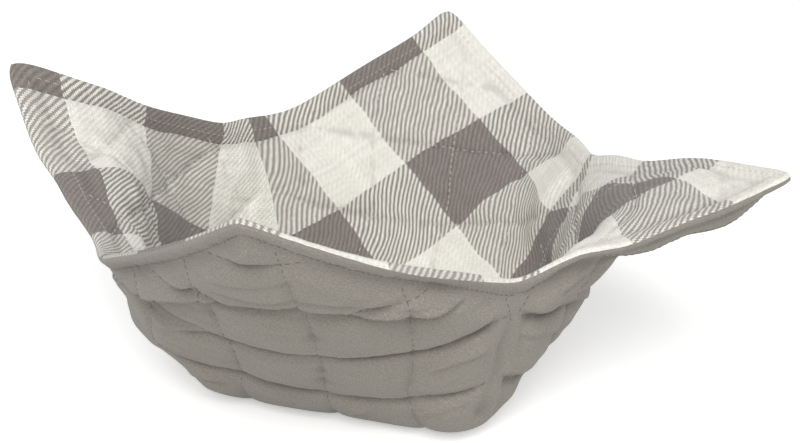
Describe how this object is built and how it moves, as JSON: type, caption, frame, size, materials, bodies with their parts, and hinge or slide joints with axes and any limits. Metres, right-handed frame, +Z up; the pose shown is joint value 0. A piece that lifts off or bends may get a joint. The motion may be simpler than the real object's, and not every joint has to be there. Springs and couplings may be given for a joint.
{
  "type": "microwave bowl cozy",
  "caption": "Quilted cloth bowl holder: a padded square drawn up by a dart in each side into a bowl with four petals, check liner inside and plain outer cloth.",
  "frame": {"origin": "middle of the underside of the flat base, where the cozy stands", "axes": "+Z up out of the bowl; the four darts run to +X, +Y, -X and -Y, and the four petals point between them"},
  "size_m": [0.216, 0.2123, 0.1047],
  "materials": {
    "check_cotton": "woven cotton twill in a large two-colour check",
    "wadding": "loose felted cotton wadding",
    "grey_cotton": "plain woven cotton, matt"
  },
  "bodies": {
    "root": {"check_liner": "check_cotton", "batting": "wadding", "outer_cover": "grey_cotton"}
  },
  "joints": []
}
